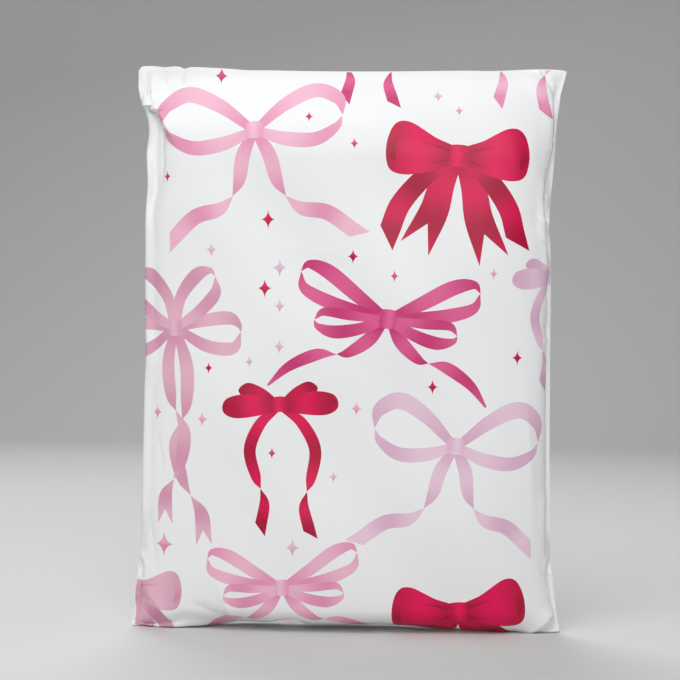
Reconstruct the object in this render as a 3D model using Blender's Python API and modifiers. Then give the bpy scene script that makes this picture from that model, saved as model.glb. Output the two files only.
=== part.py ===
"""A sealed and filled poly mailer bag, 10 x 13 in, standing upright on its base.

One web of white polyethylene film makes the whole bag: it is folded at the bottom,
welded along both sides, filled, and closed by a flap that folds over the mouth and
sticks to the back. The filled bag can't be seen into, so it is one closed solid.

Axes: X across the bag, Y through it with the printed front at -Y, Z up. The origin is
the middle of the base. Units are metres.
"""

import math

import bmesh
import bpy

# The bag as filled.
HEIGHT = 0.330
CORNER_HALF_WIDTH = 0.1265  # at the four corners, where the film stays flat
WAIST_HALF_WIDTH = 0.1190  # between them, where the filling draws the sides in
HALF_DEPTH = 0.0205  # from the side welds to the front, and to the back
BASE_HALF_DEPTH = 0.0160  # of the flat foot that the bag stands on

# How far the corners reach along the sides before the width settles to the waist.
TOP_FLARE = 0.085
BOTTOM_FLARE = 0.062

# The film slopes away from the filling to the top fold, and rounds under to the base.
TOP_SLOPE = 0.060
BASE_ROUND = 0.014

# The film and its welds. Two films of 75 microns lie together in a weld.
WELD_WIDTH = 0.003
WELD_HALF_THICKNESS = 0.00015
TOP_FOLD_HALF_THICKNESS = 0.0004

# The closing flap, on the back.
FLAP_LENGTH = 0.046
FLAP_STEP = 0.0006  # how far its cut edge stands off the back

# The cage.
COLUMNS_PER_HALF = 8
ROWS = 20
LEDGE = 0.0004  # height of the step at the flap's cut edge
SMOOTHING = 1

FILM_COLOUR = (0.86, 0.86, 0.87, 1.0)
FILM_ROUGHNESS = 0.32


def clear_scene():
    """Removes whatever the scene holds."""
    for obj in list(bpy.data.objects):
        bpy.data.objects.remove(obj, do_unlink=True)


def smooth_rise(share):
    """0 at 0 and 1 from 1 on, rising as a quarter of a circle does."""
    return math.sqrt(1 - (1 - min(max(share, 0), 1)) ** 2)


def half_width(z):
    """Half the bag's width at a height: flared at the corners, drawn in between."""
    top = max(0, 1 - (HEIGHT - z) / TOP_FLARE) ** 2
    bottom = max(0, 1 - z / BOTTOM_FLARE) ** 2
    return WAIST_HALF_WIDTH + (CORNER_HALF_WIDTH - WAIST_HALF_WIDTH) * max(top, bottom)


def half_depth(x, z):
    """Half the bag's thickness at a place: a flat-faced cushion between the two welds."""
    inner = half_width(z) - WELD_WIDTH
    across = math.sqrt(max(0, 1 - min(1, abs(x) / inner) ** 5))
    base_share = BASE_HALF_DEPTH / HALF_DEPTH
    under = base_share + (1 - base_share) * smooth_rise(z / BASE_ROUND)
    over = smooth_rise((HEIGHT - z) / TOP_SLOPE)
    return WELD_HALF_THICKNESS + (HALF_DEPTH - WELD_HALF_THICKNESS) * across * under * over


def column_shares():
    """Where the cage's columns stand, as shares of the half width, closer near the sides."""
    weld_share = 1 - WELD_WIDTH / WAIST_HALF_WIDTH
    inner = [weld_share * math.sin(math.pi / 2 * k / COLUMNS_PER_HALF)
             for k in range(-COLUMNS_PER_HALF, COLUMNS_PER_HALF + 1)]
    return [-1.0, *inner, 1.0]


def row_heights():
    """The heights of the cage's rows, closer near both ends, with two at the flap's edge."""
    edge = HEIGHT - FLAP_LENGTH
    rows = [HEIGHT * (1 - math.cos(math.pi * k / ROWS)) / 2 for k in range(ROWS + 1)]
    nearest = min(range(len(rows)), key=lambda k: abs(rows[k] - edge))
    rows[nearest:nearest + 1] = [edge - LEDGE / 2, edge + LEDGE / 2]
    return rows


def place(bm, front, columns, rows):
    """Moves one side's even grid to its columns and rows, and gives it its depth."""
    side = -1 if front else 1
    for vert in bm:
        column = round((vert.co.x + 1) / 2 * (len(columns) - 1))
        row = round((vert.co.y + 1) / 2 * (len(rows) - 1))
        z = rows[row]
        x = columns[column] * half_width(z)
        depth = half_depth(x, z)
        if row == len(rows) - 1:
            depth = TOP_FOLD_HALF_THICKNESS
        elif not front and z > HEIGHT - FLAP_LENGTH:
            depth += FLAP_STEP
        vert.co = (x, side * depth, z)


def crease_sharp_edges(bm):
    """Keeps the edges of the base, the welds, the top fold and the flap's step crisp."""
    crease = bm.edges.layers.float.new("crease_edge")
    edge_of_flap = HEIGHT - FLAP_LENGTH
    for edge in bm.edges:
        a, b = (vert.co for vert in edge.verts)
        at_base = a.z < LEDGE and b.z < LEDGE
        at_top = min(a.z, b.z) > HEIGHT - LEDGE
        at_side = all(abs(co.x) > half_width(co.z) - WELD_WIDTH / 2 for co in (a, b))
        level = abs(a.z - b.z) < LEDGE / 4
        at_flap = level and min(a.y, b.y) > 0 and abs(a.z - edge_of_flap) < LEDGE
        if at_base or at_top or at_side or at_flap:
            edge[crease] = 1.0


def film_material():
    """White polyethylene film with a soft gloss."""
    material = bpy.data.materials.new("film")
    material.use_nodes = True
    shader = material.node_tree.nodes["Principled BSDF"]
    shader.inputs["Base Color"].default_value = FILM_COLOUR
    shader.inputs["Roughness"].default_value = FILM_ROUGHNESS
    shader.inputs["Metallic"].default_value = 0.0
    return material


def make_mailer(collection):
    """The filled bag: a grid for the front, extruded to the back, shaped and smoothed."""
    columns = column_shares()
    rows = row_heights()
    bm = bmesh.new()
    bmesh.ops.create_grid(bm, x_segments=len(columns) - 1, y_segments=len(rows) - 1, size=1)
    front = list(bm.verts)
    made = bmesh.ops.extrude_face_region(bm, geom=list(bm.faces), use_keep_orig=True)
    back = [item for item in made["geom"] if isinstance(item, bmesh.types.BMVert)]
    place(front, True, columns, rows)
    place(back, False, columns, rows)
    bmesh.ops.recalc_face_normals(bm, faces=bm.faces)
    crease_sharp_edges(bm)

    mesh = bpy.data.meshes.new("mailer_bag")
    bm.to_mesh(mesh)
    bm.free()
    mesh.shade_smooth()
    mesh.materials.append(film_material())
    bag = bpy.data.objects.new("mailer_bag", mesh)
    collection.objects.link(bag)
    smooth = bag.modifiers.new("Smooth film", "SUBSURF")
    smooth.levels = SMOOTHING
    smooth.render_levels = SMOOTHING
    return bag


def main():
    """Builds the bag in a collection of its own."""
    clear_scene()
    collection = bpy.data.collections.new("poly_mailer_bag")
    bpy.context.scene.collection.children.link(collection)
    make_mailer(collection)


main()
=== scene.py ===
"""The looks of a poly mailer bag: sealed, filled, and standing upright on its base.

The bag is one web of white film. Its front and back are folded from the same web at the
bottom, welded to each other along both sides, and closed by a flap that folds over the
mouth and sticks to the back. The film is printed with ribbon bows and sparkles.

The film is first laid flat and settled round its filling as sheets of linked points. The
printed web is then cut into triangles along the outlines of its print, and every corner of
them is moved to its place on the settled film.
"""

import logging
import math
from dataclasses import dataclass, field
from enum import Enum

import bpy
import numpy as np
from mathutils import Matrix, Vector, geometry


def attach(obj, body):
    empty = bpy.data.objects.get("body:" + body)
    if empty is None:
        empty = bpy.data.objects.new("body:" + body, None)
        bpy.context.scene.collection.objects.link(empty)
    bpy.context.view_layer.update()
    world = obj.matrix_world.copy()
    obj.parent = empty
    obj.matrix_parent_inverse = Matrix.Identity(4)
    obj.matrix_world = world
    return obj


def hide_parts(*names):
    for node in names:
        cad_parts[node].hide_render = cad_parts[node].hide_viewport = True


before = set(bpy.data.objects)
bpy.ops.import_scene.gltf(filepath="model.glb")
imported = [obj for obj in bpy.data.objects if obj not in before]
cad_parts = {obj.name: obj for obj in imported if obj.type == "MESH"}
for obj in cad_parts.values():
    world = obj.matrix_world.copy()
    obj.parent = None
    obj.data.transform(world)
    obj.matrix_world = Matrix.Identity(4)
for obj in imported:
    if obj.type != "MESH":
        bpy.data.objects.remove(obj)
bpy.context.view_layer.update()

log = logging.getLogger("mailer")
MM = 0.001


def smooth_step(value: np.ndarray) -> np.ndarray:
    """Rises from 0 at 0 to 1 at 1, level at both ends."""
    share = np.clip(value, 0.0, 1.0)
    return share * share * (3.0 - 2.0 * share)


def linear(red: int, green: int, blue: int) -> tuple[float, float, float]:
    """A print colour, given in the 0 to 255 of a colour chart, as linear light."""
    parts = [value / 255.0 for value in (red, green, blue)]
    return tuple(p / 12.92 if p <= 0.04045 else ((p + 0.055) / 1.055) ** 2.4 for p in parts)


# ---------------------------------------------------------------- the film and its filling


@dataclass(frozen=True)
class Film:
    """The flat sizes of the bag's film, in metres."""

    width: float = 0.254
    length: float = 0.3385  # of either side, from the bottom fold to the top fold
    weld: float = 0.0016
    flap: float = 0.046
    adhesive: float = 0.037  # how far the flap is stuck down, from the top fold
    gauge: float = 0.00016  # from the middle of a weld to its outside


@dataclass(frozen=True)
class SideLine:
    """How far one side of the filled bag stands from its middle at each height."""

    heights: tuple[float, ...]
    reaches: tuple[float, ...]

    def reach_at(self, z: np.ndarray) -> np.ndarray:
        """The distance from the middle of the bag to its side, in metres."""
        return np.interp(z, np.array(self.heights) * MM, np.array(self.reaches) * MM)


LEFT_SIDE = SideLine(
    heights=(0, 11, 32, 43, 58, 77, 110, 170, 300, 305.5, 312.5, 319, 330),
    reaches=(126.8, 124.8, 122.7, 122.2, 121.2, 120.2, 119.4, 118.7, 120.2, 122.8, 125.0, 126.1, 126.5),
)
RIGHT_SIDE = SideLine(
    heights=(0, 11, 24, 37, 60, 120, 222, 231, 238, 263, 282, 303, 317, 330),
    reaches=(126.8, 124.7, 123.1, 121.2, 120.0, 119.2, 118.8, 118.1, 117.0, 118.9, 120.3, 121.6, 123.2, 126.5),
)


@dataclass(frozen=True)
class Filling:
    """The folded garment in the bag: a soft slab with rounded edges, in metres."""

    half_depth: float = 0.0190
    foot: float = 0.0012
    head: float = 0.3260
    foot_round: float = 0.0120
    head_round: float = 0.0480
    lump: float = 0.0018
    waist: float = 0.1190  # how far the sides reach where the corners don't flare them
    flare: float = 0.0070

    def half_depth_at(self, x: np.ndarray, z: np.ndarray) -> np.ndarray:
        """How far the filling reaches to the front, and to the back, at a place.

        Args:
            x: Places across the bag.
            z: Heights.

        Returns:
            Half the filling's thickness there, and 0 beside it.
        """
        reach = np.where(x < 0, LEFT_SIDE.reach_at(z), RIGHT_SIDE.reach_at(z))
        inset = np.where(x < 0, 0.0024 + 0.0040 * smooth_step((z - 0.235) / 0.03), 0.0027 + 0.0018 * smooth_step((z - 0.225) / 0.03))
        share = np.clip(np.abs(x) / (reach - inset), 0.0, 1.0)
        flared = np.clip((reach - self.waist) / self.flare, 0.0, 1.0)
        across = (1.0 - share ** (4.0 - 2.0 * flared)) ** (0.42 + 0.10 * flared)
        rise = np.clip((z - self.foot) / self.foot_round, 0.0, 1.0)
        fall = np.clip((self.head - z) / self.head_round, 0.0, 1.0)
        up = np.sqrt(1.0 - (1.0 - rise) ** 2) * (1.0 - (1.0 - fall) ** 1.7)
        waves = (
            0.45 * np.cos(x * 52.0 + z * 21.0 + 0.6)
            + 0.35 * np.cos(x * 24.0 - z * 47.0 + 2.1)
            + 0.30 * np.cos(x * 83.0 + z * 64.0 + 4.0)
        )
        return across * up * (self.half_depth + self.lump * (waves - 0.4))


@dataclass(frozen=True)
class Tuck:
    """A place in a weld where the spare film kinks to the front or to the back."""

    right: bool
    along: float  # film height of its middle, in metres
    reach: float  # how far it spreads along the weld
    out: float  # how far the film moves to the back, or less than 0 to the front


TUCKS = (
    Tuck(False, 0.322, 0.009, -0.0030),
    Tuck(False, 0.300, 0.012, 0.0040),
    Tuck(True, 0.262, 0.011, 0.0030),
    Tuck(True, 0.245, 0.007, -0.0035),
    Tuck(True, 0.222, 0.009, 0.0030),
    Tuck(True, 0.195, 0.012, -0.0015),
    Tuck(True, 0.055, 0.010, 0.0030),
    Tuck(True, 0.034, 0.008, -0.0030),
    Tuck(False, 0.060, 0.012, 0.0025),
    Tuck(False, 0.030, 0.010, -0.0030),
)


@dataclass(frozen=True)
class Crease:
    """A straight crease in the film, which fades at both ends."""

    start: tuple[float, float]  # how far across the film and up it, in millimetres
    end: tuple[float, float]
    rise: float  # how far its crest stands out, or less than 0 in, in millimetres
    widths: tuple[float, float]  # how far its flanks reach to its left and its right
    lean: float = 1.0  # less than 1 puts its highest place nearer the start

    def rise_at(self, u: np.ndarray, v: np.ndarray) -> np.ndarray:
        """How far the crease moves the film outward.

        Args:
            u: Places across the flat film, in metres.
            v: Places up it.

        Returns:
            The outward moves, in metres.
        """
        ax, ay = self.start[0] * MM, self.start[1] * MM
        dx, dy = self.end[0] * MM - ax, self.end[1] * MM - ay
        long = math.hypot(dx, dy)
        along = np.clip(((u - ax) * dx + (v - ay) * dy) / (long * long), 0.0, 1.0)
        left = ((v - ay) * dx - (u - ax) * dy) / long
        along = along**self.lean
        fade = smooth_step(np.minimum(along, 1.0 - along) / 0.4)
        width = np.where(left > 0, self.widths[0], self.widths[1]) * MM
        flank = np.clip(1.0 - np.abs(left) / width, 0.0, 1.0) ** 2
        return self.rise * MM * fade * flank

    def points(self) -> np.ndarray:
        """Points close together along the crease and its flanks, on the flat film."""
        start, end = np.array(self.start), np.array(self.end)
        long = np.hypot(*(end - start))
        run = (end - start) / long
        side = np.array([-run[1], run[0]])
        along = np.linspace(0.0, long, max(2, round(long / 0.8)) + 1)
        left, right = (min(width, 2.8) for width in self.widths)
        offsets = [-right, -0.6 * right, -0.3 * right, 0.0, 0.3 * left, 0.6 * left, left]
        made = [start + run * along[:, None] + side * offset for offset in offsets]
        return np.vstack(made) * MM


def puckers(seed: int, right: bool, low: float, high: float, count: int, rise: float = 0.45) -> tuple[Crease, ...]:
    """Short creases that run from a weld into the film.

    Args:
        seed: Starts the draw.
        right: Whether the weld is the right one, seen from the front.
        low: The lowest height on the film, in millimetres.
        high: The highest height.
        count: How many there are.
        rise: The most that one stands out, in millimetres.

    Returns:
        The creases.
    """
    draw = np.random.default_rng(seed)
    made = []
    for height in np.linspace(low, high, count) + draw.uniform(-3.0, 3.0, count):
        angle = math.radians(draw.uniform(-38.0, 38.0))
        long = draw.uniform(6.0, 15.0)
        reach = 1.8 + long * math.cos(angle)
        near, far = (252.2, 254.0 - reach) if right else (1.8, reach)
        out = draw.choice([-1.0, 1.0]) * draw.uniform(0.4, 1.0) * rise
        width = draw.uniform(1.6, 3.4) * (1.6 - rise)
        end = (far, height + long * math.sin(angle))
        made.append(Crease((near, height), end, out, (width, width * 1.5), 0.6))
    return tuple(made)


WELD_RIMS = (
    Crease((2.6, 4), (2.6, 335), 0.35, (1.0, 3.0)),
    Crease((251.4, 4), (251.4, 335), 0.35, (3.0, 1.0)),
)
FRONT_CREASES = (
    # The pinched top left corner.
    Crease((-1.5, 316.5), (19, 309.5), 4.0, (14, 1.2)),
    Crease((10, 319), (28, 287), 5.0, (16, 6.5)),
    Crease((14.0, 313), (15.5, 264), -2.3, (4.5, 5)),
    Crease((3.0, 334), (13.5, 310), 1.5, (9, 3.0)),
    Crease((15, 339), (17.5, 324), -0.9, (3, 4)),
    Crease((27.6, 341), (28.4, 326), -2.2, (1.4, 1.4)),
    # The ridge at the top right corner and the puckered weld under it.
    Crease((235, 342), (247.5, 319), 2.8, (3.0, 12)),
    Crease((245.6, 330), (247.0, 268), 2.8, (2.5, 9)),
    Crease((239, 268), (251, 247), -1.0, (4, 5)),
    Crease((237, 251), (251, 243), 0.9, (3, 4)),
    Crease((240, 237), (252, 231), -0.8, (2.5, 3)),
    Crease((241, 226), (251, 214), 0.8, (3, 4)),
    Crease((231, 170), (238, 52), 0.7, (8, 13)),
    # The bottom right corner.
    Crease((256, 22), (224, -2), 2.2, (9, 10)),
    Crease((226, 70), (249, 30), 1.1, (6, 9)),
    Crease((240, 44), (251, 36), -0.9, (2.5, 3)),
    Crease((186, 14), (203, 6), -1.4, (4, 3)),
    # The bottom left corner and the raised middle of the bottom.
    Crease((1, 40), (34, 4), 1.5, (9, 8)),
    Crease((34, 26), (70, 12), -1.3, (7, 9)),
    Crease((52, 40), (66, 8), 0.8, (8, 6)),
    Crease((84, 8), (108, 11), -2.0, (7, 5)),
    Crease((8, 84), (17, 34), -0.8, (6, 6)),
    # The soft waves of the flat front.
    Crease((40, 128), (66, 44), 0.4, (16, 16)),
    Crease((150, 250), (214, 150), -0.4, (24, 20)),
    Crease((60, 236), (150, 222), 0.35, (20, 18)),
    Crease((90, 320), (180, 300), -0.4, (14, 16)),
    Crease((14, 126), (20, 98), -0.8, (3, 5)),
    *puckers(3, False, 40, 290, 5, 0.12),
    *puckers(4, True, 30, 190, 9, 0.4),
    *puckers(9, True, 178, 292, 16, 0.8),
    Crease((251.2, 4), (251.2, 335), 0.40, (3.0, 1.0)),
)
BACK_CREASES = (
    Crease((2, 78), (6, 6), 2.4, (7, 5)),
    Crease((8, 62), (30, 20), 1.0, (8, 8)),
    Crease((246, 60), (222, 22), 1.1, (8, 8)),
    Crease((240, 270), (214, 226), 0.9, (10, 9)),
    Crease((12, 272), (34, 226), 0.8, (10, 8)),
    Crease((70, 22), (120, 12), -1.6, (9, 9)),
    Crease((60, 210), (170, 150), 0.4, (22, 20)),
    *puckers(5, False, 30, 280, 15),
    *puckers(6, True, 30, 280, 15),
    *WELD_RIMS,
)


@dataclass(frozen=True)
class Pull:
    """A place where both sides of the film are pulled a little way, all in millimetres."""

    at: tuple[float, float]  # how far across the film and up it
    reach: tuple[float, float]
    move: tuple[float, float, float]

    def move_at(self, u: np.ndarray, v: np.ndarray) -> np.ndarray:
        """How far the film is moved, in metres, one row for each place."""
        across = (u / MM - self.at[0]) / self.reach[0]
        up = (v / MM - self.at[1]) / self.reach[1]
        return np.exp(-(across**2) - up**2)[:, None] * np.array(self.move) * MM


PULLS = (
    Pull((28.0, 340), (2.2, 6), (0, 0, -1.5)),
    Pull((16.0, 340), (3.5, 7), (0, 0, -0.8)),
    Pull((66.0, 340), (9, 8), (0, 0, -0.5)),
    Pull((214, 340), (14, 8), (0, 0, -0.6)),
    Pull((72, 0), (36, 15), (0, 9.0, 1.8)),
    Pull((95, 0), (6.0, 12), (0, 0, 7.0)),
    Pull((146, 0), (34, 15), (0, 8.0, 1.3)),
)


@dataclass
class Drape:
    """Settles the film round the filling.

    Each side of the bag is a sheet of points, linked to their neighbours by threads that
    don't stretch, and coarse sheets are settled before fine ones. A sheet array holds the
    front and then the back, by rows up the bag and columns across it.
    """

    film: Film
    filling: Filling
    levels: tuple[tuple[int, int, int], ...] = (
        (20, 27, 600),
        (40, 54, 600),
        (80, 108, 500),
        (160, 214, 350),
    )
    floor: float = 0.0003
    height: float = 0.3300
    give: float = 0.35  # how much of its stiffness a thread has when it is pushed together
    bend: float = 0.10
    cling: float = 0.000004
    keep: float = 0.96  # how much of its speed a point keeps
    fill_cells: float = 2000.0  # cells of the filling's table to a metre

    def __post_init__(self) -> None:
        """Tabulates the filling's half depth and its slopes."""
        step = 1.0 / self.fill_cells
        self.x_from, self.z_from = -0.130, -0.005
        x = np.arange(self.x_from, 0.130 + step, step)
        z = np.arange(self.z_from, 0.320 + step, step)
        depth = self.filling.half_depth_at(x[None, :], z[:, None])
        slope_z, slope_x = np.gradient(depth, step)
        self.table = np.stack([depth, slope_x, slope_z], -1)

    def settle(self) -> np.ndarray:
        """Settles the film from coarse sheets to fine ones.

        Returns:
            The settled sheets, with the front and the back along the first axis.
        """
        sheets = None
        for columns, rows, steps in self.levels:
            if sheets is None:
                sheets = self._flat(columns, rows)
            else:
                sheets = self._finer(sheets, columns, rows)
            sheets = self._relax(sheets, steps)
        return sheets

    def _flat(self, columns: int, rows: int) -> np.ndarray:
        """The film laid flat between the corners, its two sides just apart."""
        u = np.linspace(0.0, self.film.width, columns + 1)
        v = np.linspace(0.0, 1.0, rows + 1)
        sheets = np.zeros((2, rows + 1, columns + 1, 3))
        sheets[..., 0] = (u - self.film.width / 2)[None, None, :] * 0.98
        sheets[..., 2] = (v * self.height)[None, :, None]
        bulge = np.sin(np.pi * np.linspace(0, 1, columns + 1))[None, :]
        bulge = bulge * np.sin(np.pi * v)[:, None] * 0.002
        sheets[0, ..., 1] = -bulge
        sheets[1, ..., 1] = bulge
        return sheets

    def _finer(self, sheets: np.ndarray, columns: int, rows: int) -> np.ndarray:
        """The same sheets with more points."""
        t = np.linspace(0, sheets.shape[1] - 1, rows + 1)
        s = np.linspace(0, sheets.shape[2] - 1, columns + 1)
        grid_s, grid_t = np.meshgrid(s, t)
        return np.stack([Surface(sheet).at(grid_s, grid_t)[0] for sheet in sheets])

    def _relax(self, sheets: np.ndarray, steps: int) -> np.ndarray:
        """Moves the points for a number of small time steps.

        Args:
            sheets: Where the points start.
            steps: How many steps they take.

        Returns:
            Where they end.
        """
        pitch_u = self.film.width / (sheets.shape[2] - 1)
        pitch_v = self.film.length / (sheets.shape[1] - 1)
        slant = math.hypot(pitch_u, pitch_v)
        welded = max(1, round(self.film.weld / pitch_u) + 1)
        before = sheets.copy()
        for step in range(steps):
            moved = sheets + self.keep * (sheets - before)
            before = sheets
            sheets = moved
            self._push(sheets)
            for _ in range(2):
                self._link(sheets, pitch_u, pitch_v, slant)
            self._unbend(sheets)
            self._hold(sheets)
            self._keep_apart(sheets)
            self._keep_out(sheets)
            self._join(sheets, welded)
            np.maximum(sheets[..., 2], self.floor, out=sheets[..., 2])
        return sheets

    def _push(self, sheets: np.ndarray) -> None:
        """Adds the pull of the top fold's stiffness and the cling of the film to its filling."""
        sheets[:, -1, :, 2] += 0.00003
        sheets[0, 1:-1, 2:-2, 1] += self.cling
        sheets[1, 1:-1, 2:-2, 1] -= self.cling

    def _link(self, sheets: np.ndarray, pitch_u: float, pitch_v: float, slant: float) -> None:
        """Brings every thread back towards its length, one colour of threads at a time."""
        rows, columns = sheets.shape[1:3]
        for start in (0, 1):
            self._thread(sheets[:, :, start : columns - 1 : 2], sheets[:, :, start + 1 :: 2], pitch_u)
            self._thread(sheets[:, start : rows - 1 : 2], sheets[:, start + 1 :: 2], pitch_v)
            low, high = sheets[:, start : rows - 1 : 2], sheets[:, start + 1 :: 2]
            self._thread(low[:, :, :-1], high[:, :, 1:], slant)
            self._thread(low[:, :, 1:], high[:, :, :-1], slant)

    def _thread(self, first: np.ndarray, second: np.ndarray, rest: float) -> None:
        """Brings one set of threads back towards their length, in place."""
        across = second - first
        length = np.sqrt(np.einsum("...i,...i->...", across, across))[..., None] + 1e-12
        strain = (length - rest) / length
        across *= np.where(strain > 0, 0.5, 0.5 * self.give) * strain
        first += across
        second -= across

    def _unbend(self, sheets: np.ndarray) -> None:
        """Flattens the film a little along its rows and its columns."""
        for axis in (1, 2):
            view = np.moveaxis(sheets, axis, 0)
            curve = view[:-2] - 2.0 * view[1:-1] + view[2:]
            view[1:-1] += curve * (self.bend / 3.0)
            view[:-2] -= curve * (self.bend / 6.0)
            view[2:] -= curve * (self.bend / 6.0)

    def _hold(self, sheets: np.ndarray) -> None:
        """Draws the welds to the bag's side lines and tucks, and the corners to their heights."""
        along = np.linspace(0.0, self.film.length, sheets.shape[1])
        for right, line in ((False, LEFT_SIDE), (True, RIGHT_SIDE)):
            column = -1 if right else 0
            sign = 1.0 if right else -1.0
            edge = sheets[:, :, column]
            edge[..., 0] += 0.12 * (sign * line.reach_at(edge[..., 2]) - edge[..., 0])
            depth = np.zeros_like(along)
            for tuck in TUCKS:
                if tuck.right == right:
                    depth += tuck.out * np.exp(-(((along - tuck.along) / tuck.reach) ** 2))
            edge[..., 1] += 0.20 * (depth[None, :] - edge[..., 1])
        for column in (0, -1):
            sheets[:, -1, column, 2] += 0.2 * (self.height - sheets[:, -1, column, 2])
            sheets[:, 0, column, 2] += 0.2 * (self.floor - sheets[:, 0, column, 2])

    def _keep_apart(self, sheets: np.ndarray) -> None:
        """Stops the front and the back from passing through each other."""
        gap = sheets[1, ..., 1] - sheets[0, ..., 1]
        push = np.maximum(0.0004 - gap, 0.0) * 0.5
        sheets[0, ..., 1] -= push
        sheets[1, ..., 1] += push

    def _keep_out(self, sheets: np.ndarray) -> None:
        """Moves points that are in the filling straight out of it."""
        x, z = sheets[..., 0], sheets[..., 2]
        column = np.rint((x - self.x_from) * self.fill_cells).astype(int)
        row = np.rint((z - self.z_from) * self.fill_cells).astype(int)
        column = np.clip(column, 0, self.table.shape[1] - 1)
        row = np.clip(row, 0, self.table.shape[0] - 1)
        found = self.table[row, column]
        off_x = x - (self.x_from + column / self.fill_cells)
        off_z = z - (self.z_from + row / self.fill_cells)
        depth = found[..., 0] + found[..., 1] * off_x + found[..., 2] * off_z
        side = np.array([-1.0, 1.0])[:, None, None]
        clear = side * sheets[..., 1] - depth
        inside = (found[..., 0] > 0) & (clear < 0)
        scale = 1.0 + found[..., 1] ** 2 + found[..., 2] ** 2
        move = np.where(inside, -clear / scale, 0.0)
        sheets[..., 0] -= move * found[..., 1]
        sheets[..., 1] += move * side
        sheets[..., 2] -= move * found[..., 2]

    def _join(self, sheets: np.ndarray, welded: int) -> None:
        """Joins the front to the back along the welds and both folds."""
        for part in (
            np.s_[:, :, :welded],
            np.s_[:, :, -welded:],
            np.s_[:, 0],
            np.s_[:, -1],
        ):
            sheets[part] = sheets[part].mean(axis=0, keepdims=True)


@dataclass
class Surface:
    """A smooth surface through a sheet of points."""

    points: np.ndarray

    def at(self, s: np.ndarray, t: np.ndarray) -> tuple[np.ndarray, np.ndarray, np.ndarray]:
        """Finds places on the surface.

        Args:
            s: How far along the columns, in points.
            t: How far along the rows, in points.

        Returns:
            The places there, and how they change with s and with t.
        """
        rows, columns = self.points.shape[:2]
        s_low = np.clip(np.floor(s).astype(int), 0, columns - 2)
        t_low = np.clip(np.floor(t).astype(int), 0, rows - 2)
        weigh_s, slope_s = self._weights(s - s_low)
        weigh_t, slope_t = self._weights(t - t_low)
        place = np.zeros(s.shape + (3,))
        by_s = np.zeros_like(place)
        by_t = np.zeros_like(place)
        padded = self._padded()
        for j in range(4):
            for i in range(4):
                point = padded[t_low + j, s_low + i]
                place += (weigh_t[j] * weigh_s[i])[..., None] * point
                by_s += (weigh_t[j] * slope_s[i])[..., None] * point
                by_t += (slope_t[j] * weigh_s[i])[..., None] * point
        return place, by_s, by_t

    def _padded(self) -> np.ndarray:
        """The points with one more row and column beyond each edge, in line with the last two."""
        p = self.points
        p = np.concatenate([2 * p[:1] - p[1:2], p, 2 * p[-1:] - p[-2:-1]], axis=0)
        return np.concatenate([2 * p[:, :1] - p[:, 1:2], p, 2 * p[:, -1:] - p[:, -2:-1]], axis=1)

    @staticmethod
    def _weights(f: np.ndarray) -> tuple[list[np.ndarray], list[np.ndarray]]:
        """The shares of four neighbouring points in a place between the middle two."""
        shares = [
            ((-0.5 * f + 1.0) * f - 0.5) * f,
            (1.5 * f - 2.5) * f * f + 1.0,
            ((-1.5 * f + 2.0) * f + 0.5) * f,
            (0.5 * f - 0.5) * f * f,
        ]
        slopes = [
            (-1.5 * f + 2.0) * f - 0.5,
            (4.5 * f - 5.0) * f,
            (-4.5 * f + 4.0) * f + 0.5,
            (1.5 * f - 1.0) * f,
        ]
        return shares, slopes


# ------------------------------------------------------------------------------ the print


class Ink(Enum):
    """The printed colours, each as its shade and its light."""

    CRIMSON = (linear(166, 0, 50), linear(236, 6, 90))
    MAGENTA = (linear(192, 34, 104), linear(228, 104, 156))
    PINK = (linear(222, 136, 172), linear(240, 192, 210))
    DUSTY = (linear(208, 144, 170), linear(230, 186, 202))
    LILAC = (linear(212, 166, 194), linear(234, 206, 220))


def curve_through(knots: np.ndarray, step: float) -> np.ndarray:
    """A smooth open curve through knots, with even points.

    Args:
        knots: One row for each knot; the first two columns are its place.
        step: The distance between points.

    Returns:
        The curve's points, with as many columns as the knots have.
    """
    ends = np.vstack([2 * knots[0] - knots[1], knots, 2 * knots[-1] - knots[-2]])
    pieces = []
    for k in range(len(knots) - 1):
        a, b, c, d = ends[k : k + 4]
        f = np.linspace(0, 1, 24, endpoint=False)[:, None]
        pieces.append(0.5 * (2 * b + (c - a) * f + (2 * a - 5 * b + 4 * c - d) * f**2 + (3 * b - a - 3 * c + d) * f**3))
    dense = np.vstack([*pieces, knots[-1:]])
    run = np.concatenate([[0], np.cumsum(np.hypot(*np.diff(dense[:, :2], axis=0).T))])
    count = max(3, math.ceil(run[-1] / step) + 1)
    even = np.linspace(0, run[-1], count)
    return np.stack([np.interp(even, run, dense[:, k]) for k in range(dense.shape[1])], 1)


@dataclass
class Shape:
    """One field of print: its outline, and what its shading runs along."""

    outline: np.ndarray
    spine: np.ndarray
    ink: Ink
    tone: float = 0.0  # from -1, all shade, to 1, all light
    bands: float = 1.0  # how many times the shading turns from shade to light along it
    phase: float = 0.0

    def shade(self, places: np.ndarray) -> np.ndarray:
        """The colours of the print at places in it.

        Args:
            places: One row for each place on the flat film.

        Returns:
            One row of linear red, green and blue for each place.
        """
        away = ((places[:, None, :] - self.spine[None, :, :]) ** 2).sum(-1)
        along = away.argmin(1) / max(1, len(self.spine) - 1)
        wave = 0.5 - 0.5 * np.cos(2 * math.pi * (self.bands * along + self.phase))
        light = np.clip(0.12 + 0.62 * wave + 0.5 * self.tone, 0, 1)[:, None]
        shade, bright = (np.array(colour) for colour in self.ink.value)
        return shade + (bright - shade) * light


class End(Enum):
    """How a ribbon ends: square, slanted, or in a swallowtail, as shares of its width."""

    PLAIN = (0.0, 0.0)
    SLANT = (0.9, 0.0)
    FORK = (0.25, 0.65)


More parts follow.
